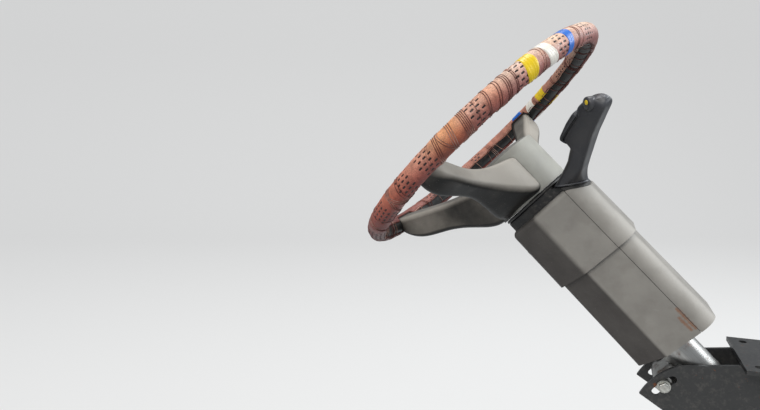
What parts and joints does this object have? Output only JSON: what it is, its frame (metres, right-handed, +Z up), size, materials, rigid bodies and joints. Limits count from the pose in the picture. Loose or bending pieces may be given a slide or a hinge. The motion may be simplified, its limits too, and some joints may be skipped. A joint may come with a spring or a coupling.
{
  "type": "truck steering wheel and adjustable column",
  "caption": "Truck steering wheel with a laced leather rim cover, on a tilting, telescoping column with grey shrouds and a black hand-grip lever.",
  "frame": {"origin": "centre of the mounting bracket's four bolt holes, on its upper face", "axes": "+X forward in the vehicle, +Y to the driver's left, +Z up out of the bracket's upper face"},
  "size_m": [0.6581, 0.4604, 0.6105],
  "materials": {
    "bracket_steel": "black paint",
    "zinc_steel": "zinc plated",
    "tube_steel": "drawn, oiled",
    "bush_plastic": "matte",
    "bearing_steel": "ground",
    "shroud_grey": "grained",
    "housing_black": "matte",
    "boot_rubber": "matte",
    "lever_black": "satin",
    "paddle_black": "satin",
    "button_black": "gloss",
    "boss_metal": "cast",
    "spoke_grey": "grained",
    "rim_black": "matte",
    "cover_leather": "worn",
    "band_yellow": "worn",
    "band_white": "worn",
    "band_blue": "worn",
    "hub_grey": "grained",
    "pad_grey": "grained"
  },
  "bodies": {
    "bracket": {"mounting_bracket": "bracket_steel", "tilt_pivot_pin": "zinc_steel"},
    "column": {"outer_jacket": "tube_steel", "slide_bushes": "bush_plastic", "lower_bearing": "bearing_steel", "tilt_clamp_bolt": "zinc_steel", "slide_clamp": "zinc_steel", "shroud_carriers": "bracket_steel", "lower_shroud_top": "shroud_grey", "lower_shroud_bottom": "shroud_grey"},
    "telescope": {"inner_tube": "tube_steel", "upper_bearing": "bearing_steel", "switch_housing": "housing_black", "lever_boot": "boot_rubber", "lever_pivot_pin": "zinc_steel", "upper_shroud_top": "shroud_grey", "upper_shroud_bottom": "shroud_grey"},
    "lever": {"lever_grip": "lever_black", "lever_paddle": "paddle_black", "lever_button": "button_black"},
    "wheel": {"wheel_shaft": "tube_steel", "wheel_nut": "zinc_steel", "wheel_boss": "boss_metal", "spoke_left": "spoke_grey", "spoke_lower": "spoke_grey", "spoke_right": "spoke_grey", "rim_core": "rim_black", "rim_cover": "cover_leather", "band_yellow": "band_yellow", "band_white": "band_white", "band_blue": "band_blue", "hub_cover_upper": "hub_grey", "hub_cover_lower": "hub_grey", "horn_pad": "pad_grey"},
    "lower_shaft": {"lower_shaft": "tube_steel", "joint_yoke": "zinc_steel"}
  },
  "joints": [
    {"name": "tilt", "type": "hinge", "parent": "bracket", "child": "column", "pos_m": [-0.09, 0, -0.112], "axis": [0, 1, 0], "range_deg": [-8, 8]},
    {"name": "telescope_slide", "type": "slide", "parent": "column", "child": "telescope", "axis": [-0.7034, 0, 0.7108], "range_m": [-0.038, 0.03]},
    {"name": "lever_swing", "type": "hinge", "parent": "telescope", "child": "lever", "pos_m": [-0.2878, -0.046, 0.23005], "axis": [-0.2113, 0, 0.9774], "range_deg": [-7, 7], "stiffness_Nm_per_rad": 4},
    {"name": "wheel_spin", "type": "hinge", "parent": "telescope", "child": "wheel", "pos_m": [-0.4301, 0, 0.29708], "axis": [-0.7034, 0, 0.7108], "continuous": true},
    {"name": "lower_shaft_spin", "type": "hinge", "parent": "column", "child": "lower_shaft", "pos_m": [-0.0362, 0, -0.10097], "axis": [-0.7034, 0, 0.7108], "continuous": true}
  ],
  "couplings": [
    {"joint": "lower_shaft_spin", "follows": "wheel_spin", "ratio": 1}
  ]
}
